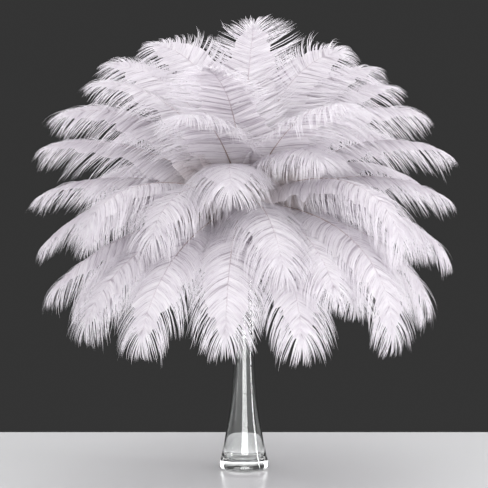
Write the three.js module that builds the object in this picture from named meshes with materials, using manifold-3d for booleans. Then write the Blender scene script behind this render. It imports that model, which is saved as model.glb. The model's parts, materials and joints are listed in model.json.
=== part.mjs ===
// Ostrich feather centrepiece: a tall clear glass vase with a flared foot and a trumpet mouth, a foam
// ball that rests in the mouth, and 58 white ostrich feathers whose quills are pushed into the ball.
// Millimetres, +Z up. The origin is the middle of the flat foot, on the surface that the vase stands on.
// -Y is the front. Each feather is one solid: its quill, and a thin arched blade as wide as its vane.

import * as THREE from "three";
import { mergeVertices } from "three/addons/utils/BufferGeometryUtils.js";
import Module from "manifold-3d";

const wasm = await Module();
wasm.setup();

// ---- Driving dimensions -------------------------------------------------------------------------

const VASE_HEIGHT = 610;
const FOOT_RADIUS = 60;
const WALL = 3.4; // glass thickness of the flared tube
const FLOOR = 20; // thick glass under the hollow
const VASE_SIDES = 32;

const BALL_RADIUS = 60;
const BALL_CENTRE = new THREE.Vector3(0, 0, 640);
const BALL_SIDES = 24;
const GAP = 0.3; // kept between pieces that touch

const QUILL_START = 40; // from the middle of the ball to the cut end of the quill
const QUILL_END = 70; // to where the quill starts to widen into the vane
const QUILL_RADIUS = 2.5; // where it leaves the ball
const HOLE_RADIUS = QUILL_RADIUS + 1.3 * GAP; // of the holes in the ball
const TIP_RADIUS = 0.9; // of the shaft at its far end
const DROOP_POWER = 2.2; // how late along its length a feather bends
const VANE_REACH = 1.09; // the vane runs past the shaft's tip, to this multiple of its length
const VANE_HALF_WIDTH = 66; // at its widest
const VANE_DROP = 42; // how far the vane's edges hang below the shaft, at its widest
const EDGE_HALF_THICKNESS = 0.8;
const CLEARANCE = 1; // least space between two feathers
const NARROWER = 0.9; // what a crowded vane's width is multiplied by until it is clear
const LEAST_FULLNESS = 0.15;

// Each feather: the compass angle that it points to (0 is the front, 90 is +X), the rise of its quill
// above the horizontal, how far it has bent down at the shaft's tip, the length of its shaft from the
// middle of the ball, how far it swings sideways towards its tip, and how far its vane is turned about
// its shaft. Angles in degrees.
const RINGS = {
  skirt: [
    [-5, -15, 63, 548, 0, 0],
    [16, -15, 67, 554, 0, 0],
    [41, -6, 88, 608, 5, 6],
    [66, -9, 60, 524, 2, 4],
    [89, -14, 58, 518, 0, 10],
    [113, -10, 60, 535, 0, 8],
    [137, -13, 60, 540, 0, -8],
    [161, -9, 62, 540, 0, 10],
    [-174, -13, 60, 540, 0, -6],
    [-150, -9, 62, 540, 0, 8],
    [-126, -13, 60, 535, 0, -10],
    [-100, -14, 58, 513, 0, -6],
    [-72, -13, 38, 508, 0, -6],
    [-52, -17, 51, 533, 0, -4],
    [-28, -17, 54, 558, 0, 0],
  ],
  lower: [
    [9, -1, 67, 456, 10, 0],
    [26, -10, 50, 488, 0, 4],
    [77, 3, 59, 515, 4, 8],
    [102, 7, 68, 503, 0, -8],
    [128, 9, 70, 520, 0, 10],
    [154, 6, 70, 525, 0, -6],
    [180, 10, 70, 525, 0, 8],
    [-152, 6, 70, 525, 0, -10],
    [-121, 9, 69, 515, 0, 8],
    [-84, 5, 55, 498, 0, -6],
    [-29, 12, 85, 430, -7, -4],
  ],
  middle: [
    [-11, 29, 90, 363, 22, 0],
    [47, 16, 97, 523, 5, 8],
    [82, 16, 48, 482, 3, 10],
    [112, 26, 70, 520, 0, 12],
    [141, 27, 72, 520, 0, -8],
    [170, 26, 72, 520, 0, 8],
    [-161, 27, 72, 520, 0, -8],
    [-126, 25, 70, 520, 0, 6],
    [-88, 15, 43, 490, 0, -2],
    [-55, 14, 78, 466, -1, -8],
  ],
  upper: [
    [28, 36, 74, 358, 8, 6],
    [84, 32, 60, 508, 0, 14],
    [125, 43, 76, 512, 0, -10],
    [158, 42, 76, 512, 0, 8],
    [-168, 44, 76, 512, 0, -6],
    [-130, 43, 76, 512, 0, -12],
    [-89, 30, 47, 499, 0, -20],
    [-20, 44, 61, 408, -1, 0],
    [35, 47, 62, 432, 7, 8],
  ],
  shoulder: [
    [85, 47, 67, 488, 0, 22],
    [92, 55, 53, 458, 0, 28],
    [143, 61, 72, 505, 0, 10],
    [-158, 60, 72, 505, 0, -10],
    [-84, 45, 65, 500, 0, -26],
    [-78, 58, 64, 460, 0, -28],
  ],
  crown: [
    [-13, 69, 59, 383, -20, 0],
    [167, 85, 30, 462, 0, 0],
    [110, 75, 62, 476, 0, 42],
    [102, 65, 62, 480, 0, 34],
    [-176, 72, 66, 500, 0, 0],
    [-100, 65, 62, 493, 0, -34],
    [-116, 79, 70, 500, 0, -42],
  ],
};

// Outer radius of the glass at each height, from the foot to the rim.
const GLASS_PROFILE = [
  [FOOT_RADIUS - 3, 0],
  [FOOT_RADIUS, 5],
  [59, 14],
  [53.4, 34],
  [44.4, 80],
  [38, 120],
  [32.5, 160],
  [27, 238],
  [24.2, 330],
  [24.6, 400],
  [28.5, 470],
  [36.5, 535],
  [46.5, 582],
  [54.6, VASE_HEIGHT - 3],
];

// Cross-sections of a vane along its shaft: share of the shaft's length, share of the full half-width.
const VANE_STATIONS = [
  [0.26, 0.34],
  [0.44, 0.84],
  [0.64, 1],
  [0.82, 0.97],
  [0.97, 0.72],
  [VANE_REACH, 0.2],
];

// ---- Feathers -------------------------------------------------------------------------------------

const UP = new THREE.Vector3(0, 0, 1);
const STEPS = 80; // of the sum that follows a feather's bending shaft

// The way a feather points, and the way across its vane, at a share t of its shaft's length.
function directionAt([compass, rise, bend, , swing, turn], t) {
  const late = t ** DROOP_POWER;
  const elevation = THREE.MathUtils.degToRad(rise - bend * late);
  const azimuth = THREE.MathUtils.degToRad(compass + swing * late);
  const ahead = new THREE.Vector3(
    Math.cos(elevation) * Math.sin(azimuth),
    -Math.cos(elevation) * Math.cos(azimuth),
    Math.sin(elevation),
  );
  const level = new THREE.Vector3(Math.cos(azimuth), Math.sin(azimuth), 0);
  return { ahead, side: level.applyAxisAngle(ahead, THREE.MathUtils.degToRad(turn)) };
}

// The point on a feather's middle line at a share t of its shaft's length.
function pointAt(feather, t) {
  const length = feather[3];
  const point = BALL_CENTRE.clone();
  const step = t / STEPS;
  for (let i = 0; i < STEPS; i++)
    point.addScaledVector(directionAt(feather, (i + 0.5) * step).ahead, step * length);
  return point;
}

// Six points round the middle line, where across and thick are half-widths of a lens with blunt edges.
function section(feather, t, { across, thick, edge, drop }) {
  const { ahead, side } = directionAt(feather, t);
  const out = new THREE.Vector3().crossVectors(ahead, side);
  const middle = pointAt(feather, t);
  const place = (x, z, hang) =>
    middle
      .clone()
      .addScaledVector(side, x)
      .addScaledVector(out, z)
      .addScaledVector(UP, -hang);
  return [
    place(0, thick, 0),
    place(-across, edge, drop),
    place(-across, -edge, drop),
    place(0, -thick, 0),
    place(across, -edge, drop),
    place(across, edge, drop),
  ];
}

function round(radius) {
  return { across: radius * Math.cos(Math.PI / 6), thick: radius, edge: radius / 2, drop: 0 };
}

// A closed skin over a row of rings that hold the same number of points.
function skinOver(rings) {
  const size = rings[0].length;
  const positions = rings.flat().flatMap((p) => p.toArray());
  const faces = [];
  for (let r = 0; r + 1 < rings.length; r++)
    for (let i = 0; i < size; i++) {
      const a = r * size + i;
      const b = r * size + ((i + 1) % size);
      faces.push(a, b, b + size, a, b + size, a + size);
    }
  const last = (rings.length - 1) * size;
  for (let i = 1; i + 1 < size; i++) {
    faces.push(0, i + 1, i);
    faces.push(last, last + i, last + i + 1);
  }
  const skin = new THREE.BufferGeometry();
  skin.setAttribute("position", new THREE.Float32BufferAttribute(positions, 3));
  skin.setIndex(faces);
  return skin;
}

function featherGeometry(feather, fullness) {
  const rings = [QUILL_START, QUILL_END].map((reach) =>
    section(feather, reach / feather[3], round(QUILL_RADIUS)),
  );
  for (const [t, share] of VANE_STATIONS) {
    const width = VANE_HALF_WIDTH * share * fullness;
    rings.push(
      section(feather, t, {
        across: width,
        thick: THREE.MathUtils.lerp(QUILL_RADIUS, TIP_RADIUS, t / VANE_REACH),
        edge: EDGE_HALF_THICKNESS,
        drop: VANE_DROP * share * fullness,
      }),
    );
  }
  return skinOver(rings);
}

// ---- Solids, for cutting and for finding feathers that touch ----------------------------------------

function solidOf(geometry) {
  const bare = geometry.clone();
  bare.deleteAttribute("normal");
  bare.deleteAttribute("uv");
  const merged = mergeVertices(bare, 1e-3);
  return new wasm.Manifold(
    new wasm.Mesh({
      numProp: 3,
      vertProperties: merged.getAttribute("position").array,
      triVerts: new Uint32Array(merged.index.array),
    }),
  );
}

function geometryOf(solid) {
  const mesh = solid.getMesh();
  const geometry = new THREE.BufferGeometry();
  geometry.setAttribute("position", new THREE.BufferAttribute(mesh.vertProperties, 3));
  geometry.setIndex(new THREE.BufferAttribute(mesh.triVerts, 1));
  geometry.computeVertexNormals();
  return geometry;
}

// Narrows the two vanes of each pair that comes too close, a little at a time, until all are clear.
function fullnessOf(feathers) {
  const fullness = feathers.map(() => 1);
  const solids = feathers.map((f, i) => solidOf(featherGeometry(f, fullness[i])));
  let crowded = true;
  while (crowded) {
    crowded = false;
    for (let i = 0; i < feathers.length; i++)
      for (let j = i + 1; j < feathers.length; j++) {
        if (solids[i].minGap(solids[j], 2 * CLEARANCE) >= CLEARANCE) continue;
        for (const k of [i, j]) {
          if (fullness[k] <= LEAST_FULLNESS) continue;
          fullness[k] *= NARROWER;
          solids[k] = solidOf(featherGeometry(feathers[k], fullness[k]));
          crowded = true;
        }
      }
  }
  return fullness;
}

// ---- Vase and ball ----------------------------------------------------------------------------------

function vaseGeometry() {
  const outside = GLASS_PROFILE.map(([r, z]) => new THREE.Vector2(r, z));
  const inside = GLASS_PROFILE.filter(([, z]) => z > FLOOR + 2 * WALL)
    .map(([r, z]) => new THREE.Vector2(r - WALL, z))
    .reverse();
  const rim = new THREE.Vector2(inside[0].x + WALL / 2, VASE_HEIGHT);
  const floorRadius = inside.at(-1).x - WALL;
  const hollow = [
    ...inside,
    new THREE.Vector2(floorRadius, FLOOR + 2),
    new THREE.Vector2(floorRadius - 8, FLOOR),
    new THREE.Vector2(0, FLOOR),
  ];
  const profile = [new THREE.Vector2(0, 0), ...outside, rim, ...hollow];
  return new THREE.LatheGeometry(profile, VASE_SIDES).rotateX(Math.PI / 2);
}

// The ball, with a hole for each quill.
function ballGeometry(feathers) {
  const sphere = new THREE.SphereGeometry(BALL_RADIUS, BALL_SIDES, BALL_SIDES / 2);
  sphere.rotateX(Math.PI / 2).translate(...BALL_CENTRE);
  const ball = feathers.reduce((left, feather) => {
    const ends = [QUILL_START - GAP, QUILL_END].map((reach) =>
      section(feather, reach / feather[3], round(HOLE_RADIUS)),
    );
    return left.subtract(solidOf(skinOver(ends)));
  }, solidOf(sphere));
  return geometryOf(ball);
}

// ---- The arrangement --------------------------------------------------------------------------------

const glass = new THREE.MeshStandardMaterial({
  color: 0xf2f6f7,
  roughness: 0.03,
  metalness: 0,
  transparent: true,
  opacity: 0.35,
});
const foam = new THREE.MeshStandardMaterial({ color: 0xece6dc, roughness: 0.9, metalness: 0 });
const plume = new THREE.MeshStandardMaterial({ color: 0xf4f0f3, roughness: 0.8, metalness: 0 });

function namedMesh(name, geometry, material) {
  const mesh = new THREE.Mesh(geometry, material);
  mesh.name = name;
  return mesh;
}

const arrangement = new THREE.Group();
arrangement.name = "ostrich_feather_centrepiece";
arrangement.add(namedMesh("glass_vase", vaseGeometry(), glass));

const feathers = Object.values(RINGS).flat();
arrangement.add(namedMesh("foam_ball", ballGeometry(feathers), foam));

const fullness = fullnessOf(feathers);
let placed = 0;
for (const [ring, members] of Object.entries(RINGS))
  members.forEach((feather, i) => {
    const name = `${ring}_feather_${String(i + 1).padStart(2, "0")}`;
    arrangement.add(namedMesh(name, featherGeometry(feather, fullness[placed]), plume));
    placed += 1;
  });

export default arrangement;
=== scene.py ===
# %% [markdown]
# # A centrepiece of white ostrich feathers in a glass vase
# A florist makes one by pushing plume quills into a ball of foam that sits in the mouth of a tall,
# flared glass vase. The lowest plumes hang as a skirt, and each ring above it stands more upright.
# The imported model gives every piece its place and size. It is loaded first.

# %% Load the imported frame
import json
import math
from collections import namedtuple

import bpy
import numpy as np
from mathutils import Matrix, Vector

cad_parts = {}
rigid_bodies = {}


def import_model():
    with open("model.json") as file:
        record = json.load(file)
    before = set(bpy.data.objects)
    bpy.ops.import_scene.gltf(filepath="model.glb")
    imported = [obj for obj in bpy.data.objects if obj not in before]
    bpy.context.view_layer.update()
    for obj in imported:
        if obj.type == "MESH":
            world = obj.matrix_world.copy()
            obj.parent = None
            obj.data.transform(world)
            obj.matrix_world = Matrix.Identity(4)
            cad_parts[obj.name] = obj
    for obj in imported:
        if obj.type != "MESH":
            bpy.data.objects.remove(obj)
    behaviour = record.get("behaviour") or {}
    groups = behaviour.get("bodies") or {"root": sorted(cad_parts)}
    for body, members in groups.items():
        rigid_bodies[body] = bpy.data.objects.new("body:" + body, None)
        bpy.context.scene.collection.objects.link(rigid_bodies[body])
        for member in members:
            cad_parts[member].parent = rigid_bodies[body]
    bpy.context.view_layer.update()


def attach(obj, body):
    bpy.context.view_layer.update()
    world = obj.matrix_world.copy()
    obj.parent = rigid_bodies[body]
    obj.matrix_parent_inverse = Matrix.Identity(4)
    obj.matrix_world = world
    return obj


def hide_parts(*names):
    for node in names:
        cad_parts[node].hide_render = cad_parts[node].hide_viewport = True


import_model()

# %% [markdown]
# ## Helpers for modelling
# Operators act on whatever is selected, so each step starts from an empty selection and says in
# code what it takes. Three small helpers cover that: one clears the selection, one applies
# modifiers, and one gives a finished piece its body and its material slot and hides the imported
# solid that it stands for.

# %% Modelling helpers
MM = 0.001


def start_fresh():
    """Leaves edit mode and selects nothing, so the next operator touches only its own piece."""
    if bpy.context.mode != "OBJECT":
        bpy.ops.object.mode_set(mode="OBJECT")
    bpy.ops.object.select_all(action="DESELECT")


def apply_modifier(piece, kind, **settings):
    """Adds one modifier to the piece, with its settings, and applies it."""
    start_fresh()
    bpy.context.view_layer.objects.active = piece
    modifier = piece.modifiers.new(kind.title(), kind)
    for name, value in settings.items():
        setattr(modifier, name, value)
    bpy.ops.object.modifier_apply(modifier=modifier.name)


def triangles(piece):
    """How many triangles a mesh piece is drawn with."""
    return sum(len(face.vertices) - 2 for face in piece.data.polygons)


def hand_over(piece, node, material):
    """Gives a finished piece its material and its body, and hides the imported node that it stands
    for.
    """
    piece.data.materials.clear()
    piece.data.materials.append(material)
    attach(piece, "root")
    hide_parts(node)


# %% [markdown]
# ## Helpers for materials
# A material is a graph of nodes, and long graphs are easier to read as formulas. A Wire wraps one
# socket, so that 1 - streaks * 0.2 adds its own Math nodes. A Board adds every other kind of node:
# its settings come first, and then the values or wires that go into its sockets.

# %% Wires and boards
class Wire:
    """The output of a node, in a form that Python can subtract and multiply."""

    def __init__(self, board, socket):
        self.board = board
        self.socket = socket

    def maths(self, operation, *values):
        """The result of one Math node."""
        return self.board.add("Math", {"operation": operation}, dict(enumerate(values)))

    def __sub__(self, other):
        return self.maths("SUBTRACT", self, other)

    def __rsub__(self, other):
        return self.maths("SUBTRACT", other, self)

    def __mul__(self, other):
        return self.maths("MULTIPLY", self, other)

    __rmul__ = __mul__


class Board:
    """The nodes on a new material, or on a new world."""

    def __init__(self, name, kind="Material"):
        library = {"Material": bpy.data.materials, "World": bpy.data.worlds}[kind]
        self.kind = kind
        self.holder = library.new(name)
        self.holder.use_nodes = True
        self.tree = self.holder.node_tree
        self.tree.nodes.clear()

    def add(self, kind, settings=None, inputs=None, output=0):
        """Adds a node, sets it up, feeds its sockets, and gives a wire from one of its outputs."""
        node = self.tree.nodes.new("ShaderNode" + kind)
        for name, value in (settings or {}).items():
            setattr(node, name, value)
        for key, value in (inputs or {}).items():
            socket = self.find(node.inputs, key)
            if isinstance(value, Wire):
                self.tree.links.new(value.socket, socket)
            else:
                socket.default_value = value
        return Wire(self, self.find(node.outputs, output))

    @staticmethod
    def find(sockets, key):
        """A socket by its number, or by its name where that one is in use."""
        if isinstance(key, int):
            return sockets[key]
        return next(s for s in sockets if key in (s.name, s.identifier) and s.enabled)

    def mix(self, share, first, second):
        """A colour that goes from first to second as share goes from 0 to 1."""
        first, second = ((*c, 1) if isinstance(c, tuple) else c for c in (first, second))
        inputs = {"Factor_Float": share, "A_Color": first, "B_Color": second}
        return self.add("Mix", {"data_type": "RGBA"}, inputs, "Result_Color")

    def clamp(self, wire, low, high):
        """0 where the wire is at or below low, 1 at or above high, and even in between."""
        inputs = {"Value": wire, "From Min": low, "From Max": high}
        return self.add("MapRange", {"clamp": True}, inputs)

    def finish(self, shader):
        """Sends a shader to the output, and gives the finished material or world."""
        output = self.tree.nodes.new("ShaderNodeOutput" + self.kind)
        self.tree.links.new(shader.socket, output.inputs["Surface"])
        return self.holder


print("helpers ready")

# %% [markdown]
# ## The camera
# The view is level and a little below the middle of the spray, from far enough away that the vase
# keeps its true taper. The lens is worked out from the width of the view, instead of tried by eye.

# %% Camera
CAMERA_DISTANCE = 2.6
CAMERA_HEIGHT = 0.536
VIEW_WIDTH = 488 * 2.4 * MM  # at the vase's axis
SENSOR_WIDTH = 36.0

camera_place = (0, -CAMERA_DISTANCE, CAMERA_HEIGHT)
bpy.ops.object.camera_add(location=camera_place, rotation=(math.pi / 2, 0, 0))
camera = bpy.context.object
camera.name = "Camera"
camera.data.sensor_width = SENSOR_WIDTH
camera.data.lens = SENSOR_WIDTH * CAMERA_DISTANCE / VIEW_WIDTH
bpy.context.scene.camera = camera
print("lens", round(camera.data.lens, 1), "mm")

# %% [markdown]
# ## Floor, backdrop and light
# White plumes and clear glass both need something darker behind them, so the floor is a pale table
# top that ends half a metre behind the vase, and the space behind it is a plain dark grey.
# Feathers look soft in large, even lights. The strongest one stands low in front, because the
# arching plumes show their undersides. A key from the upper left, a fill from the right and one
# from above shape the tops, and three behind do the same for the back. A tall strip draws the long
# highlight down the glass.

# %% Floor
TABLE_SIZE = (2.6, 1.7, 0.012)
TABLE_BACK = 0.49  # its back edge, behind the vase's axis
FOOT_CLEAR = 0.4 * MM  # the foot and the table would flicker if they shared one plane
TABLE_EDGE = 2 * MM
TABLE_GREY = (0.6, 0.6, 0.61, 1)

start_fresh()
table_middle = (0, TABLE_BACK - TABLE_SIZE[1] / 2, -FOOT_CLEAR - TABLE_SIZE[2] / 2)
bpy.ops.mesh.primitive_cube_add(size=1, location=table_middle, scale=TABLE_SIZE)
table = bpy.context.object
table.name = "Table_top"
bpy.ops.object.transform_apply(location=True, scale=True)
apply_modifier(table, "BEVEL", width=TABLE_EDGE, segments=3)

table_board = Board("Pale table top")
table.data.materials.append(
    table_board.finish(
        table_board.add("BsdfPrincipled", None, {"Base Color": TABLE_GREY, "Roughness": 0.15})
    )
)
print("table top", TABLE_SIZE[0], "m wide")

# %% Lights
SPRAY_MIDDLE = (0, 0, 0.66)
VASE_MIDDLE = (0, 0, 0.35)


def area_light(name, place, aim, size, power):
    """A rectangular soft light that faces a point."""
    bpy.ops.object.light_add(type="AREA", location=place)
    lamp = bpy.context.object
    lamp.name = name
    lamp.rotation_euler = (Vector(aim) - Vector(place)).to_track_quat("-Z", "Y").to_euler()
    lamp.data.shape = "RECTANGLE"
    lamp.data.size, lamp.data.size_y = size
    lamp.data.energy = power


area_light("Key", (-1.7, -2.2, 2.0), SPRAY_MIDDLE, (1.8, 1.8), 14)
area_light("Fill", (2.2, -2.3, 1.4), SPRAY_MIDDLE, (1.6, 1.6), 9)
area_light("Front", (0.3, -3.4, 0.35), SPRAY_MIDDLE, (2.4, 1.0), 56)
area_light("Top", (0.2, 0.4, 2.8), SPRAY_MIDDLE, (2.0, 2.0), 12)
area_light("Back_left", (-2.1, 1.6, 1.1), SPRAY_MIDDLE, (1.0, 2.0), 18)
area_light("Back_right", (2.1, 1.6, 1.1), SPRAY_MIDDLE, (1.0, 2.0), 18)
area_light("Back_top", (0, 2.4, 2.6), SPRAY_MIDDLE, (2.4, 1.2), 26)
area_light("Strip", (2.2, -0.6, 0.5), VASE_MIDDLE, (0.3, 1.3), 20)
print("lights", sum(o.type == "LIGHT" for o in bpy.data.objects))

# %% [markdown]
# The undersides of the plumes need light too. A studio has it from white walls and ceiling, so the
# world is bright above and below. Only a level band is as dark as the backdrop, and in front even
# that band is half as bright as the walls, because plumes seen from behind need something grey
# behind them too.

# %% World
BACKDROP_GREY = 0.035
ROOM_LIGHT = 1.25
BAND_EDGES = (0.23, 0.38)  # sines of the slopes where the dark band starts to fade and has ended
FRONT_EDGES = (-0.1, -0.5)  # the same for directions towards the front
FRONT_SHARE = 0.55  # of the room's light, in the part of the band that is in front

room_board = Board("Studio room", "World")
way_out = room_board.add("TexCoord", output="Generated")
slope = room_board.add("SeparateXYZ", None, {0: way_out}, "Z")
towards_back = room_board.add("SeparateXYZ", None, {0: way_out}, "Y")
steep = room_board.clamp(slope.maths("ABSOLUTE", slope), *BAND_EDGES)
front = room_board.clamp(towards_back, *FRONT_EDGES) * FRONT_SHARE
bright = front.maths("MAXIMUM", steep, front)
room_colour = room_board.mix(bright, (BACKDROP_GREY,) * 3, (ROOM_LIGHT,) * 3)
room_light = room_board.add("Background", None, {"Color": room_colour})
bpy.context.scene.world = room_board.finish(room_light)
bpy.context.scene.view_settings.view_transform = "Standard"
print("room nodes", len(room_board.tree.nodes))

# %% [markdown]
# ## The glass vase
# A blown vase is round about one axis, so it could be a stack of circles or a turned outline. The
# outline is shorter to write: its points go up the outside, over the rim, down the inside and
# across the thick floor, and Spin turns them round the axis. A few points are enough, because
# Subdivision Surface rounds them as heat rounds glass. The foot's points lie close together to
# stay crisp.

# %% Outline of the vase
VASE_HEIGHT = 0.61
WALL = 3.4 * MM

# Radius and height of the outside, in millimetres.
GLASS_OUTSIDE = [
    (48, 0), (55.5, 0), (59, 1.6), (60, 5), (59.8, 9), (58.7, 15), (55.8, 25), (53.4, 34), (49, 55),
    (44.4, 80), (38, 120), (32.5, 160), (27, 238), (24.2, 330), (24.6, 400), (28.5, 470),
    (36.5, 535), (46.5, 582), (54, 605), (54.9, 608.5),
]
RIM = (53.4, 610)
HOLLOW_FLOOR = 20
CORNER_HEIGHT = 8  # the wall ends this far above the floor, and the corner starts
FLOOR_CORNER = [(2, 7), (5, 2.5), (10, 0.4), (18, 0)]  # inwards from the wall, above the floor


def vase_outline():
    """Radius and height of each point of the half section in metres, from foot to floor."""
    wall_end = HOLLOW_FLOOR + CORNER_HEIGHT
    inside = [(r - WALL / MM, z) for r, z in reversed(GLASS_OUTSIDE) if z > wall_end]
    corner = [(inside[-1][0] - r, HOLLOW_FLOOR + z) for r, z in FLOOR_CORNER]
    outline = [(0, 0), *GLASS_OUTSIDE, RIM, *inside, *corner, (0, HOLLOW_FLOOR)]
    return [(r * MM, z * MM) for r, z in outline]


print("outline points", len(vase_outline()))

# %% Spin the vase
SPIN_STEPS = 48
SAME_PLACE = 0.01 * MM  # points closer than this are one point


def spun(name, outline):
    """Turns an outline round the upright axis into one closed mesh."""
    start_fresh()
    bpy.ops.mesh.primitive_plane_add(size=MM, location=(0, 0, 0))
    piece = bpy.context.object
    piece.name = name
    bpy.ops.object.mode_set(mode="EDIT")
    bpy.ops.mesh.select_all(action="SELECT")
    bpy.ops.mesh.merge(type="CENTER")
    here = Vector((outline[0][0], 0, outline[0][1]))
    for radius, height in outline[1:]:
        there = Vector((radius, 0, height))
        bpy.ops.mesh.extrude_region_move(TRANSFORM_OT_translate={"value": there - here})
        here = there
    bpy.ops.mesh.select_all(action="SELECT")
    bpy.ops.mesh.spin(steps=SPIN_STEPS, angle=2 * math.pi, center=(0, 0, 0), axis=(0, 0, 1))
    bpy.ops.mesh.select_all(action="SELECT")
    bpy.ops.mesh.remove_doubles(threshold=SAME_PLACE)
    bpy.ops.mesh.normals_make_consistent(inside=False)
    bpy.ops.object.mode_set(mode="OBJECT")
    return piece


vase = spun("Vase", vase_outline())
apply_modifier(vase, "SUBSURF", levels=2, render_levels=2)
vase.data.shade_smooth()
print("vase", [round(x, 4) for x in vase.dimensions], triangles(vase), "triangles")

# %% [markdown]
# ## Clear glass
# Glass has no colour of its own: what shows is the room bent through it. Full transmission, the
# refractive index of soda glass and almost no roughness are all it takes. A trace of green-grey in
# the base colour is the iron that common glass holds, and it shows where the floor is thick.

# %% Glass material
glass_board = Board("Clear soda glass")
clear_glass = glass_board.finish(
    glass_board.add(
        "BsdfPrincipled",
        None,
        {
            "Base Color": (0.975, 0.985, 0.98, 1),
            "Roughness": 0.0,
            "IOR": 1.5,
            "Transmission Weight": 1.0,
        },
    )
)
hand_over(vase, "glass_vase", clear_glass)
print("glass on", vase.name)

# %% [markdown]
# ## The foam ball
# The plumes hide what holds them, and a ball of floral foam is the usual holder. An icosphere has
# even faces all round, unlike a globe with poles, so a Displace modifier can pit all of it alike.
# The pits are the open cells of the foam, and the material paints a darker colour in a pattern of
# cells of the same size: painted shade for the pits.

# %% Foam ball
BALL_MIDDLE = Vector((0, 0, 0.64))
BALL_RADIUS = 0.06
CELL_SIZE = 5 * MM
CELL_DEPTH = 1.2 * MM
PIT_PAINTED_SHADE = (0.78, 0.75, 0.70)
FOAM_WHITE = (0.92, 0.90, 0.86)

start_fresh()
bpy.ops.mesh.primitive_ico_sphere_add(subdivisions=5, radius=BALL_RADIUS, location=BALL_MIDDLE)
ball = bpy.context.object
ball.name = "Foam_ball"
bpy.ops.object.transform_apply(location=True)
cells = bpy.data.textures.new("Foam cells", "VORONOI")
cells.noise_scale = CELL_SIZE
pits = {"texture": cells, "texture_coords": "LOCAL", "strength": -CELL_DEPTH, "mid_level": 0.0}
apply_modifier(ball, "DISPLACE", **pits)
ball.data.shade_smooth()

foam_board = Board("Floral foam")
place = foam_board.add("TexCoord", output="Object")
cell_pattern = foam_board.add("TexVoronoi", None, {"Vector": place, "Scale": 1 / CELL_SIZE})
crumbs = foam_board.add("TexNoise", None, {"Vector": place, "Scale": 900.0, "Detail": 3.0})
# Painted shade: the darker colour of the pits, in the cell pattern.
foam_colour = foam_board.mix(foam_board.clamp(cell_pattern, 0.1, 0.6), PIT_PAINTED_SHADE, FOAM_WHITE)
foam_bump = foam_board.add("Bump", None, {"Strength": 0.4, "Distance": 0.5 * MM, "Height": crumbs})
foam = foam_board.finish(
    foam_board.add(
        "BsdfPrincipled",
        None,
        {"Base Color": foam_colour, "Roughness": 0.9, "Normal": foam_bump},
    )
)
hand_over(ball, "foam_ball", foam)
print("ball", [round(x, 4) for x in ball.dimensions], triangles(ball), "triangles")

# %% [markdown]
# ## Where each plume goes
# Each plume is a row of six numbers: the compass angle that it points to (0 is the front, 90 is
# +X), the rise of its quill above the horizontal, how far the shaft has bent down at its tip, its
# length from the middle of the ball in millimetres, how far it swings sideways, and how far its
# vane is turned about the shaft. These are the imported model's own rows, so each plume lies along
# the solid that it replaces.

# %% Plume rows
Plume = namedtuple("Plume", "compass rise bend length swing turn")

RINGS = {
    "skirt": [
        (-5, -15, 63, 548, 0, 0), (16, -15, 67, 554, 0, 0), (41, -6, 88, 608, 5, 6),
        (66, -9, 60, 524, 2, 4), (89, -14, 58, 518, 0, 10), (113, -10, 60, 535, 0, 8),
        (137, -13, 60, 540, 0, -8), (161, -9, 62, 540, 0, 10), (-174, -13, 60, 540, 0, -6),
        (-150, -9, 62, 540, 0, 8), (-126, -13, 60, 535, 0, -10), (-100, -14, 58, 513, 0, -6),
        (-72, -13, 38, 508, 0, -6), (-52, -17, 51, 533, 0, -4), (-28, -17, 54, 558, 0, 0),
    ],
    "lower": [
        (9, -1, 67, 456, 10, 0), (26, -10, 50, 488, 0, 4), (77, 3, 59, 515, 4, 8),
        (102, 7, 68, 503, 0, -8), (128, 9, 70, 520, 0, 10), (154, 6, 70, 525, 0, -6),
        (180, 10, 70, 525, 0, 8), (-152, 6, 70, 525, 0, -10), (-121, 9, 69, 515, 0, 8),
        (-84, 5, 55, 498, 0, -6), (-29, 12, 85, 430, -7, -4),
    ],
    "middle": [
        (-11, 29, 90, 363, 22, 0), (47, 16, 97, 523, 5, 8), (82, 16, 48, 482, 3, 10),
        (112, 26, 70, 520, 0, 12), (141, 27, 72, 520, 0, -8), (170, 26, 72, 520, 0, 8),
        (-161, 27, 72, 520, 0, -8), (-126, 25, 70, 520, 0, 6), (-88, 15, 43, 490, 0, -2),
        (-55, 14, 78, 466, -1, -8),
    ],
    "upper": [
        (28, 36, 74, 358, 8, 6), (84, 32, 60, 508, 0, 14), (125, 43, 76, 512, 0, -10),
        (158, 42, 76, 512, 0, 8), (-168, 44, 76, 512, 0, -6), (-130, 43, 76, 512, 0, -12),
        (-89, 30, 47, 499, 0, -20), (-20, 44, 61, 408, -1, 0), (35, 47, 62, 432, 7, 8),
    ],
    "shoulder": [
        (85, 47, 67, 488, 0, 22), (92, 55, 53, 458, 0, 28), (143, 61, 72, 505, 0, 10),
        (-158, 60, 72, 505, 0, -10), (-84, 45, 65, 500, 0, -26), (-78, 58, 64, 460, 0, -28),
    ],
    "crown": [
        (-13, 69, 59, 383, -20, 0), (167, 85, 30, 462, 0, 0), (110, 75, 62, 476, 0, 42),
        (102, 65, 62, 480, 0, 34), (-176, 72, 66, 500, 0, 0), (-100, 65, 62, 493, 0, -34),
        (-116, 79, 70, 500, 0, -42),
    ],
}
plumes = {
    f"{ring}_feather_{number:02d}": Plume(*row)
    for ring, rows in RINGS.items()
    for number, row in enumerate(rows, 1)
}
print("plumes", len(plumes))

# %% [markdown]
# ## The shaft
# A shaft starts straight at the quill and bends more and more towards its soft tip. Its slope is a
# formula of the share t of its length, and adding up short steps in that direction gives its
# points. A Bezier curve could be drawn for each one, but a formula keeps all of them true to their
# rows.

# %% Follow a shaft
DROOP_POWER = 2.2
SHAFT_STEPS = 120


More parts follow.
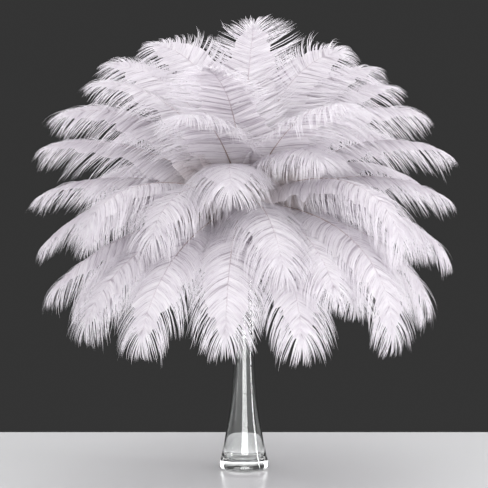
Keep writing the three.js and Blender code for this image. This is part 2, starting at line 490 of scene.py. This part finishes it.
def heading(plume, t):
    """Unit vectors ahead along the shaft and across its vane, at shares t of its length."""
    late = t**DROOP_POWER
    slope = np.radians(plume.rise - plume.bend * late)
    compass = np.radians(plume.compass + plume.swing * late)
    ahead = np.stack(
        [np.cos(slope) * np.sin(compass), -np.cos(slope) * np.cos(compass), np.sin(slope)], axis=-1
    )
    level = np.stack([np.cos(compass), np.sin(compass), np.zeros_like(compass)], axis=-1)
    turn = np.radians(plume.turn)
    return ahead, np.cos(turn) * level + np.sin(turn) * np.cross(ahead, level)


def follow(plume):
    """Shares of the length, and the shaft's points, ahead and across vectors there, in metres."""
    t = np.linspace(0, 1, SHAFT_STEPS + 1)
    ahead, _ = heading(plume, (t[1:] + t[:-1]) / 2)
    steps = ahead * plume.length * MM / SHAFT_STEPS
    points = np.array(BALL_MIDDLE) + np.vstack([np.zeros(3), np.cumsum(steps, axis=0)])
    return t, points, *heading(plume, t)


def at(t, known_t, values):
    """Vectors between the known ones, at each share t."""
    return np.stack([np.interp(t, known_t, values[:, axis]) for axis in range(3)], axis=-1)


def unit(vectors):
    return vectors / np.linalg.norm(vectors, axis=-1, keepdims=True)


tips = np.array([follow(plume)[1][-1] for plume in plumes.values()])
print("highest shaft tip", round(float(tips[:, 2].max()), 3), "m")

# %% [markdown]
# ## The way a barb grows
# An ostrich barb has no hooks, so it doesn't zip to its neighbour as in a flight feather. Each one
# leaves the shaft almost square, then bends towards the plume's tip and sags under its own weight,
# more so where the shaft lies level, and at the plume's tip it curls under. Hair particles would
# give this quickly, but they vanish on export. Here a barb is a path worked out in steps, and one
# function grows every path from its start.

# %% Grow barbs
BARB_STEPS = 5
VANE_START = 0.12
AHEAD_LENGTH = 0.17  # a barb this long turns about half way towards the shaft's own direction
SAG_LENGTH = 0.10  # a barb this long, on a level shaft, turns about half way to straight down
UPRIGHT_SAG = 0.2  # share of the sag that is left where the shaft stands upright
TIP_CURL = 0.42  # how strongly the barbs of the tip curl under
DOWN = np.array([0.0, 0.0, -1.0])

# At these shares of the shaft: the barb's angle from it in degrees, and the barb's length in mm.
ANGLE_AT = ([0.12, 0.3, 0.5, 0.8, 0.93, 1.0], [100, 84, 74, 68, 54, 7])
LENGTH_AT = ([0.12, 0.3, 0.55, 0.75, 0.88, 0.95, 1.0], [115, 135, 150, 140, 112, 80, 45])


def near_tip(root):
    """0 along most of the shaft, rising evenly to 1 over its last sixth."""
    return np.clip(root * 6 - 5, 0, 1)


def grow(plume, hand, root, rise, angle, lift, reach, curl, steps=BARB_STEPS, share=1.0):
    """Paths of the first share of each barb, on one side of the shaft (hand is -1 or 1).

    Barbs start at shares root of the shaft's length, a rise above or below its middle line.
    """
    t, shaft, ahead, across = follow(plume)
    start, along, side = (at(root, t, values) for values in (shaft, ahead, across))
    face = np.cross(along, side)
    angle = angle[:, None]
    way = unit(np.cos(angle) * along + np.sin(angle) * hand * side + lift[:, None] * face)
    hang = 1 - (1 - UPRIGHT_SAG) * np.clip(along[:, 2:], 0, 1) ** 2
    curl = curl - TIP_CURL * near_tip(root)[:, None] * face
    step = (reach * share / steps)[:, None]
    paths = [start + rise[:, None] * face]
    for k in range(steps):
        out = (k + 0.5) / steps * share
        sag = step / SAG_LENGTH * hang * (0.4 + 1.2 * out) * DOWN
        bend = step / AHEAD_LENGTH * (0.5 + out) * along
        way = unit(way + sag + bend + out**2 * curl)
        paths.append(paths[-1] + way * step)
    width_way = np.sin(angle) * along - np.cos(angle) * hand * side
    return np.stack(paths, axis=1), width_way


print("steps in a barb", BARB_STEPS)

# %% [markdown]
# ## Locks of barbs
# Barbs stick together in small locks, and whole stretches of a vane lie a little higher or lower
# than the next. So each barb's angle and lift add up three draws: a slow wave along the shaft, one
# draw for its lock and one of its own. The outer part of a lock is drawn in towards the lock's
# middle path, and a few stray barbs leave their lock altogether.

# %% Barb paths
BARBS_PER_SIDE = 282
ROOTS_AT = ([0, 0.22, 0.8, 1], [VANE_START, 0.28, 0.86, 1])  # closest together near the two ends
WAVES = 15
WAVE_ROOTS = np.linspace(VANE_START, 1, WAVES)
WAVE_ANGLE = 2.5  # degrees
WAVE_LIFT = 0.06
COMMON_LIFT = 0.02
LOCK_SIZES = (2, 4)  # barbs in a lock, from the first number to one below the second
LOCK_HOLD = 0.4  # how far a barb's end is drawn in to its lock's middle; half that at the tip
STRAYS = 0.05  # share of the barbs that leave their locks
STRAY_SPREAD = 2.0  # how much more uneven those are

# How uneven locks and single barbs are: angle in degrees, the rest as shares.
LOCK_UNEVEN = {"angle": 2.2, "lift": 0.055, "reach": 0.07, "curl": 0.065}
BARB_UNEVEN = {"angle": 2.5, "lift": 0.04, "reach": 0.04, "curl": 0.05}
ROOT_SPREAD = 0.9 * MM  # barbs leave the shaft this far above or below its middle line


def roll_waves(dice):
    """Random heights for two slow waves along a shaft: one turns its barbs, and one lifts them."""
    return dice.normal(0, 1, (2, WAVES))


def common_angle(root, waves):
    """The angle from the shaft, in degrees, that neighbouring barbs share."""
    return np.interp(root, *ANGLE_AT) + WAVE_ANGLE * np.interp(root, WAVE_ROOTS, waves[0])


def common_lift(root, waves):
    """The lift out of the vane's plane that neighbouring barbs share."""
    return COMMON_LIFT + WAVE_LIFT * np.interp(root, WAVE_ROOTS, waves[1])


def uneven(part, locks, own, dice, axes=()):
    """A draw for each barb's lock and one of its own, for one part of how the barb grows."""
    size = (len(locks), *axes)
    from_lock = dice.normal(0, LOCK_UNEVEN[part], size)[locks]
    return from_lock + own.reshape(-1, *[1] * len(axes)) * dice.normal(0, BARB_UNEVEN[part], size)


def draw_together(paths, locks, hold):
    """Pulls the outer part of each barb towards the middle path of its lock."""
    count = locks.max() + 1
    middle = np.zeros((count, *paths.shape[1:]))
    np.add.at(middle, locks, paths)
    middle /= np.bincount(locks, minlength=count)[:, None, None]
    out = np.linspace(0, 1, paths.shape[1])
    return paths + (hold[:, None] * out**1.3)[..., None] * (middle[locks] - paths)


def barb_paths(plume, hand, waves, dice):
    """The paths of the barbs on one side of a shaft, their width directions and their roots."""
    count = BARBS_PER_SIDE
    root = np.interp(np.linspace(0, 1, count), *ROOTS_AT)
    locks = np.repeat(np.arange(count), dice.integers(*LOCK_SIZES, count))[:count]
    stray = dice.random(count) < STRAYS
    own = np.where(stray, STRAY_SPREAD, 1.0)
    angle = common_angle(root, waves) + uneven("angle", locks, own, dice)
    rise = ROOT_SPREAD * dice.uniform(-1, 1, count)[locks]
    lift = common_lift(root, waves) + uneven("lift", locks, own, dice)
    reach = np.interp(root, *LENGTH_AT) * MM * (1 + uneven("reach", locks, own, dice))
    curl = uneven("curl", locks, own, dice, (3,))
    paths, width_way = grow(plume, hand, root, rise, np.radians(angle), lift, reach, curl)
    hold = np.where(stray, 0, LOCK_HOLD * (1 - 0.5 * near_tip(root)))
    return draw_together(paths, locks, hold), width_way, root


print("barbs per plume", 2 * BARBS_PER_SIDE)

# %% [markdown]
# ## From paths to solid strands
# A barb is far too thin to need a round section. A flat triangle is enough: two edges that give it
# its width and a low ridge that catches the light. It widens a little from the shaft and tapers to
# a point, and both ends are closed, so every strand is a true solid. The map of each strand is
# kept simple: across is the place along the shaft, and up is the place along the barb.

# %% Strand mesh
STRAND_WIDTH = 1.35 * MM
STRAND_RIDGE = 0.3 * MM
WIDTH_AT = ([0, 0.15, 0.5, 0.85, 1], [1.1, 1.5, 1.1, 0.55, 0.0])
MAP_EDGE = 0.02  # left free at both ends of the map
MAP_STRAND = 0.004  # half a strand's width on the map
MAP_SHAFT = 0.08  # top of the shaft's band, at the bottom of the map
MAP_DOWN = 0.16  # top of the down's band, above the shaft's


def map_across(share):
    """The map's sideways place for a share of the shaft's length."""
    return MAP_EDGE + (1 - 2 * MAP_EDGE) * share


def map_up(out):
    """The map's upward place for a share of a barb's length."""
    return MAP_DOWN + 0.01 + (0.98 - MAP_DOWN) * out


def strand_faces():
    """Triangles of one strand: three sides up its rings, its point and its closed root."""
    faces = []
    for ring in range(BARB_STEPS - 1):
        for corner in range(3):
            a, b = 3 * ring + corner, 3 * ring + (corner + 1) % 3
            faces += [(a, b, b + 3), (a, b + 3, a + 3)]
    last, tip = 3 * (BARB_STEPS - 1), 3 * BARB_STEPS
    faces += [(last + corner, last + (corner + 1) % 3, tip) for corner in range(3)]
    return np.array([*faces, (0, 2, 1)])


def strands(hand, paths, width_way, root):
    """Points, triangles and map places of all strands on one side."""
    out = np.linspace(0, 1, BARB_STEPS + 1)
    way = unit(np.gradient(paths, axis=1))
    wide = width_way[:, None, :] - (width_way[:, None, :] * way).sum(-1, keepdims=True) * way
    wide = unit(wide)
    ridge = -hand * np.cross(way, wide)
    half = (np.interp(out, *WIDTH_AT) * STRAND_WIDTH / 2)[None, :, None]
    high = half / (STRAND_WIDTH / 2) * STRAND_RIDGE
    edges = [paths - hand * wide * half, paths + hand * wide * half]
    corners = np.stack([*edges, paths + ridge * high], axis=2)
    rings = corners[:, :-1].reshape(len(paths), -1, 3)
    points = np.concatenate([rings, paths[:, -1:]], axis=1)
    shifts = np.tile([-MAP_STRAND, MAP_STRAND, 0.0], BARB_STEPS)
    across = map_across(root)[:, None] + np.append(shifts, 0.0)
    up = map_up(np.append(np.repeat(out[:-1], 3), 1.0))
    places = np.stack(np.broadcast_arrays(across, up), axis=-1)
    faces = strand_faces()[:, ::-1] + (np.arange(len(paths)) * points.shape[1])[:, None, None]
    return points.reshape(-1, 3), faces.reshape(-1, 3), places.reshape(-1, 2)


print("triangles per strand", len(strand_faces()))

# %% [markdown]
# ## The down
# Every barb carries fine loose down. It is longest near the quill, where it hides the ball, and
# further on it fills the vane between the barbs. It is too fine to model hair by hair, so a thin
# closed sheet on each side of the shaft stands for it. The sheet grows as the barbs do, on the
# same slow waves and just below them, and it narrows towards the plume's tip, where the barbs lie
# open.

# %% Down sheet
DOWN_COLUMNS = 28
DOWN_STEPS = 3
DOWN_END = 0.97  # share of the shaft where the sheet ends
DOWN_SHARE = 0.6  # the sheet is the first share of a path that is grown as a barb is

# At these shares of the shaft: the length of that path, as a share of a barb's length there.
DOWN_AT = ([VANE_START, 0.28, 0.5, 0.8, DOWN_END], [1.55, 1.35, 0.85, 0.7, 0.45])
DOWN_UNEVEN = 0.12
DOWN_HALF_THICKNESS = 0.2 * MM
DOWN_BELOW = 0.03  # how much less it lifts than the barbs do, so that most of them lie on it


def down_sheet(plume, hand, waves, dice):
    """Points, triangles and map places of one side's sheet of down."""
    root = np.linspace(VANE_START + 0.01, DOWN_END, DOWN_COLUMNS)
    angle = np.radians(common_angle(root, waves))
    lift = common_lift(root, waves) - DOWN_BELOW
    reach = np.interp(root, *LENGTH_AT) * MM * (1 + dice.normal(0, DOWN_UNEVEN, DOWN_COLUMNS))
    reach *= np.interp(root, *DOWN_AT)
    level, straight = np.zeros(DOWN_COLUMNS), np.zeros((DOWN_COLUMNS, 3))
    paths, _ = grow(plume, hand, root, level, angle, lift, reach, straight, DOWN_STEPS, DOWN_SHARE)
    normal = hand * unit(np.cross(np.gradient(paths, axis=0), np.gradient(paths, axis=1)))
    sides = [paths + sign * DOWN_HALF_THICKNESS * normal for sign in (1, -1)]
    points = np.concatenate([layer.reshape(-1, 3) for layer in sides])
    rows = DOWN_STEPS + 1
    number = np.arange(DOWN_COLUMNS * rows).reshape(DOWN_COLUMNS, rows)
    a, b, c, d = number[:-1, :-1], number[1:, :-1], number[1:, 1:], number[:-1, 1:]
    upper = np.concatenate([np.stack(f, axis=-1).reshape(-1, 3) for f in ((a, b, c), (a, c, d))])
    rim = np.concatenate([number[:, 0], number[-1, 1:], number[-2::-1, -1], number[0, -2::-1]])
    here, there = rim[:-1], rim[1:]
    under = len(points) // 2
    walls = [(here, here + under, there + under), (here, there + under, there)]
    faces = [upper, upper[:, ::-1] + under, *(np.stack(wall, axis=-1) for wall in walls)]
    faces = np.concatenate(faces)[:, ::hand]
    across = np.repeat(map_across(root), rows)
    up = np.tile(np.linspace(MAP_SHAFT + 0.01, MAP_DOWN - 0.01, rows), DOWN_COLUMNS)
    return points, faces, np.tile(np.stack([across, up], axis=-1), (2, 1))


print("down columns per side", DOWN_COLUMNS)

# %% [markdown]
# ## The shaft as a solid
# The quill is a straight hollow tube on the bird, and the shaft beyond it is solid and tapers to a
# hair. From here both look the same, so one tapered tube of eight sides does for both. It starts
# inside the foam ball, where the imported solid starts.

# %% Shaft mesh
QUILL_START = 0.040
QUILL_RADIUS = 2.5 * MM
TIP_RADIUS = 0.5 * MM
SHAFT_SIDES = 8
SHAFT_RINGS = 22


def shaft_tube(plume):
    """Points, triangles and map places of a plume's shaft."""
    t, shaft, ahead, across = follow(plume)
    share = np.linspace(QUILL_START / (plume.length * MM), 1, SHAFT_RINGS)
    middle, along, side = (at(share, t, values) for values in (shaft, ahead, across))
    face = np.cross(along, side)
    turn = np.linspace(0, 2 * np.pi, SHAFT_SIDES, endpoint=False)
    radius = (QUILL_RADIUS + (TIP_RADIUS - QUILL_RADIUS) * share**0.8)[:, None, None]
    cosine, sine = np.cos(turn)[:, None], np.sin(turn)[:, None]
    outwards = cosine * side[:, None] - sine * face[:, None]
    points = (middle[:, None] + radius * outwards).reshape(-1, 3)
    faces = []
    for ring in range(SHAFT_RINGS - 1):
        for corner in range(SHAFT_SIDES):
            a = ring * SHAFT_SIDES + corner
            b = ring * SHAFT_SIDES + (corner + 1) % SHAFT_SIDES
            faces += [(a, b + SHAFT_SIDES, b), (a, a + SHAFT_SIDES, b + SHAFT_SIDES)]
    end = (SHAFT_RINGS - 1) * SHAFT_SIDES
    for corner in range(1, SHAFT_SIDES - 1):
        faces += [(0, corner, corner + 1), (end, end + corner + 1, end + corner)]
    across_map = np.repeat(map_across(share), SHAFT_SIDES)
    up_map = np.tile(np.linspace(0.01, MAP_SHAFT - 0.01, SHAFT_SIDES), SHAFT_RINGS)
    return points, np.array(faces), np.stack([across_map, up_map], axis=-1)


print("shaft rings", SHAFT_RINGS)

# %% [markdown]
# ## The colour of a plume
# Bleached ostrich plumes are white. The mauve of their shade is painted into the colour: fine
# lines of painted shade run along the barbs. Near the quill the down is faintly rosy and the shaft
# is tan. Light passes through the barbs as well as off them, so a Translucent shader is mixed in.
# Colour follows the piece's own map, whose bands tell the shaft, the down and the barbs apart. In
# the down, wider and deeper lines are painted shade in the gaps between its hairs, and a shallow
# bump follows those.

# %% Plume material
# SHADE and DOWN_SHADE are painted shade, a mauve that is mixed into the white as lines.
WHITE = (0.965, 0.955, 0.97)
SHADE = (0.68, 0.63, 0.69)
SHAFT_GREY = (0.76, 0.70, 0.74)
DOWN_WHITE = (0.955, 0.94, 0.955)
DOWN_SHADE = (0.60, 0.555, 0.605)
ROSY = (0.97, 0.925, 0.915)
QUILL_TAN = (0.48, 0.33, 0.26)
THROUGH_SHARE = 0.68
PAINTED_SHADE_DEPTH = 0.5
BAND_SOFTNESS = 0.002  # half the width of the change from one of the map's bands to the next

plume_board = Board("White plume")
spot = plume_board.add("UVMap", {"uv_map": "OFBake"})
along_shaft = plume_board.add("SeparateXYZ", None, {0: spot}, "X")
along_barb = plume_board.add("SeparateXYZ", None, {0: spot}, "Y")


def long_noise(across, along):
    """Noise drawn out along the barbs, at these scales across and along them."""
    stretched = {"X": along_shaft * across, "Y": along_barb * along}
    place = plume_board.add("CombineXYZ", None, stretched)
    return plume_board.add("TexNoise", None, {"Vector": place, "Scale": 1.0, "Detail": 2.0})


def above(edge):
    """1 above an edge between two bands of the map, and 0 below it."""
    return plume_board.clamp(along_barb, edge - BAND_SOFTNESS, edge + BAND_SOFTNESS)


# Painted shade: fine mauve lines along the barbs, from WHITE towards SHADE.
painted_shade_lines = plume_board.clamp(long_noise(300.0, 3.0), 0.42, 0.62)
barb_white_and_painted_shade = plume_board.mix(painted_shade_lines * PAINTED_SHADE_DEPTH, WHITE, SHADE)
# Painted shade in the down: wider, deeper lines for the gaps between its hairs, which the bump
# follows too.
gaps = long_noise(120.0, 6.0)
down_white_and_painted_shade = plume_board.mix(plume_board.clamp(gaps, 0.48, 0.66), DOWN_WHITE, DOWN_SHADE)
vane_white_and_painted_shade = plume_board.mix(above(MAP_DOWN), down_white_and_painted_shade, barb_white_and_painted_shade)
vane_colour = plume_board.mix(plume_board.clamp(along_shaft, 0.36, 0.16), vane_white_and_painted_shade, ROSY)
shaft_colour = plume_board.mix(plume_board.clamp(along_shaft, 0.25, 0.7), QUILL_TAN, SHAFT_GREY)
plume_colour = plume_board.mix(above(MAP_SHAFT), shaft_colour, vane_colour)
bump = {"Strength": 0.5, "Distance": 1.5 * MM, "Height": 1 - gaps}
off_light = plume_board.add(
    "BsdfPrincipled",
    None,
    {
        "Base Color": plume_colour,
        "Roughness": 0.75,
        "Specular IOR Level": 0.25,
        "Normal": plume_board.add("Bump", None, bump),
    },
)
through_light = plume_board.add("BsdfTranslucent", None, {"Color": plume_colour})
plume_white = plume_board.finish(
    plume_board.add("MixShader", None, {"Fac": THROUGH_SHARE, 1: off_light, 2: through_light})
)
print("plume nodes", len(plume_board.tree.nodes))

# %% [markdown]
# ## Put the plumes together
# One mesh per plume holds its shaft, strands and down, because that is one feather on a bench. The
# arrays go straight into the mesh, which is far quicker than adding strands one by one. Each plume
# rolls its own dice from its number, so no two are alike and every run gives the same spray.

# %% Build every plume
SHARP_ANGLE = 65  # a strand's long edges stay crisp, and its ridge and its bends are smooth


def mesh_piece(name, points, faces, places):
    """A mesh object made from arrays of points, triangles and map places."""
    mesh = bpy.data.meshes.new(name)
    mesh.vertices.add(len(points))
    mesh.vertices.foreach_set("co", points.ravel())
    mesh.loops.add(faces.size)
    mesh.loops.foreach_set("vertex_index", faces.ravel().astype(np.int32))
    mesh.polygons.add(len(faces))
    mesh.polygons.foreach_set("loop_start", np.arange(0, faces.size, 3, dtype=np.int32))
    mesh.update(calc_edges=True)
    plume_map = mesh.uv_layers.new(name="OFBake")
    plume_map.uv.foreach_set("vector", places[faces.ravel()].ravel())
    mesh.shade_smooth()
    mesh.set_sharp_from_angle(angle=math.radians(SHARP_ANGLE))
    piece = bpy.data.objects.new(name, mesh)
    bpy.context.collection.objects.link(piece)
    return piece


def build_plume(name, plume, number):
    """One feather, as one piece."""
    dice = np.random.default_rng(number)
    parts = [shaft_tube(plume)]
    for hand in (-1, 1):
        waves = roll_waves(dice)
        parts.append(strands(hand, *barb_paths(plume, hand, waves, dice)))
        parts.append(down_sheet(plume, hand, waves, dice))
    counts = np.cumsum([0] + [len(points) for points, _, _ in parts])
    points = np.concatenate([p for p, _, _ in parts])
    faces = np.concatenate([f + n for (_, f, _), n in zip(parts, counts)])
    places = np.concatenate([m for _, _, m in parts])
    return mesh_piece(name, points, faces, places)


plume_triangles = 0
for number, (node, plume) in enumerate(plumes.items()):
    piece = build_plume("Plume_" + node.replace("_feather", ""), plume, number)
    hand_over(piece, node, plume_white)
    plume_triangles += len(piece.data.polygons)
print("triangles in plumes", plume_triangles)
